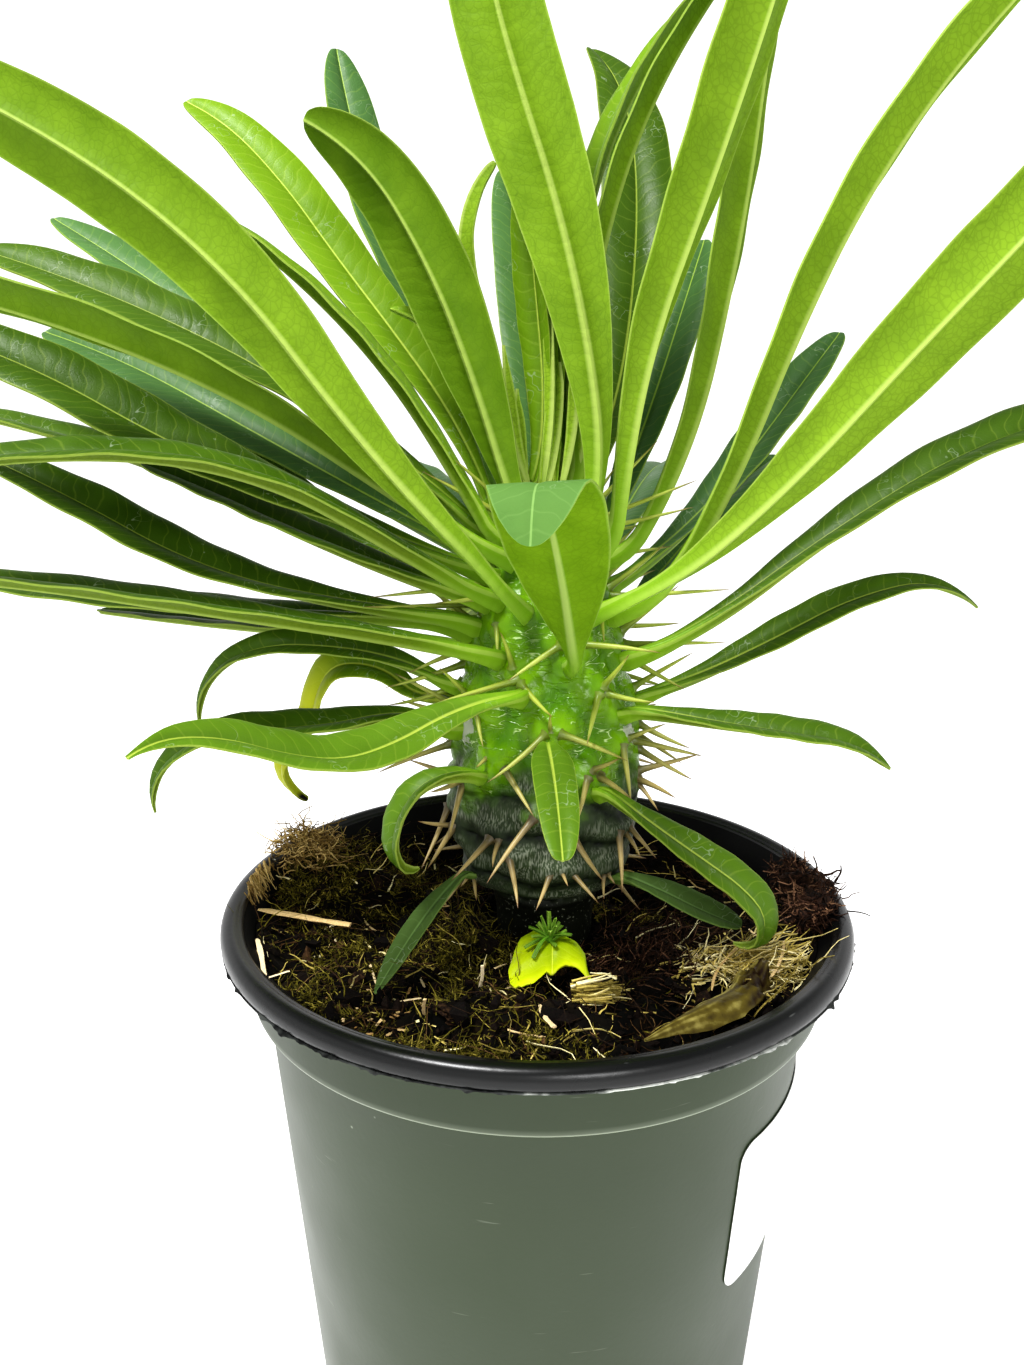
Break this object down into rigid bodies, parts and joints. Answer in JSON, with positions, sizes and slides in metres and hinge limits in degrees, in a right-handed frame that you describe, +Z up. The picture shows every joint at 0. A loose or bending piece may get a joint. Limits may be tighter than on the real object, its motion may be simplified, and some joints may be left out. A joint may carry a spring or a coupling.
{
  "type": "potted madagascar palm",
  "caption": "Young madagascar palm with a spiny swollen trunk and a crown of long strap leaves, in a round tapered nursery pot filled with mossy soil.",
  "frame": {"origin": "centre of the pot's flat underside, on the surface it stands on", "axes": "+Z up along the pot's axis, -Y toward the side that the plant is seen from, +X to the right of it"},
  "size_m": [0.3153, 0.2548, 0.398],
  "materials": {
    "pot_plastic": "dark olive-green moulded plastic, matt outside",
    "label_paper": "bare white sticker, satin",
    "potting_soil": "dark coir and peat with olive moss, rough",
    "trunk_skin": "green living bark, grey-brown and wrinkled low down, glossy high up",
    "leaf_young": "fresh yellow-green leaf, satin",
    "leaf_mature": "mid-green leaf, glossy above",
    "leaf_shaded": "dark bluish-green leaf, glossy above",
    "leaf_fading": "dying leaf, green turning yellow with a black tip",
    "leaf_seedling": "small fresh green leaflets",
    "leaf_yellow": "torn yellow-green leaf",
    "leaf_dead": "dry brown curled leaf",
    "root_fibre": "dark red-brown root fibre, rough"
  },
  "bodies": {
    "root": {"pot": "pot_plastic", "label": "label_paper", "soil": "potting_soil", "trunk": "trunk_skin", "heart": "leaf_young", "leaf_01": "leaf_young", "leaf_02": "leaf_young", "leaf_03": "leaf_mature", "leaf_04": "leaf_mature", "leaf_05": "leaf_shaded", "leaf_06": "leaf_shaded", "leaf_07": "leaf_mature", "leaf_08": "leaf_mature", "leaf_09": "leaf_mature", "leaf_10": "leaf_mature", "leaf_11": "leaf_mature", "leaf_12": "leaf_mature", "leaf_13": "leaf_mature", "leaf_14": "leaf_mature", "leaf_15": "leaf_mature", "leaf_16": "leaf_fading", "leaf_17": "leaf_mature", "leaf_18": "leaf_mature", "leaf_19": "leaf_mature", "leaf_20": "leaf_young", "leaf_21": "leaf_young", "leaf_22": "leaf_shaded", "leaf_23": "leaf_shaded", "leaf_24": "leaf_young", "leaf_25": "leaf_shaded", "leaf_26": "leaf_mature", "leaf_27": "leaf_mature", "leaf_28": "leaf_mature", "leaf_29": "leaf_young", "leaf_30": "leaf_young", "leaf_31": "leaf_shaded", "leaf_32": "leaf_young", "leaf_33": "leaf_young", "leaf_34": "leaf_young", "leaf_35": "leaf_shaded", "leaf_36": "leaf_young", "leaf_37": "leaf_mature", "leaf_38": "leaf_mature", "leaf_39": "leaf_shaded", "leaf_40": "leaf_shaded", "leaf_41": "leaf_shaded", "leaf_42": "leaf_shaded", "leaf_43": "leaf_shaded", "leaf_44": "leaf_shaded", "leaf_45": "leaf_mature", "leaf_46": "leaf_mature", "seedling": "leaf_seedling", "yellow_leaf": "leaf_yellow", "brown_leaf": "leaf_dead", "root_clump": "root_fibre"}
  },
  "joints": []
}
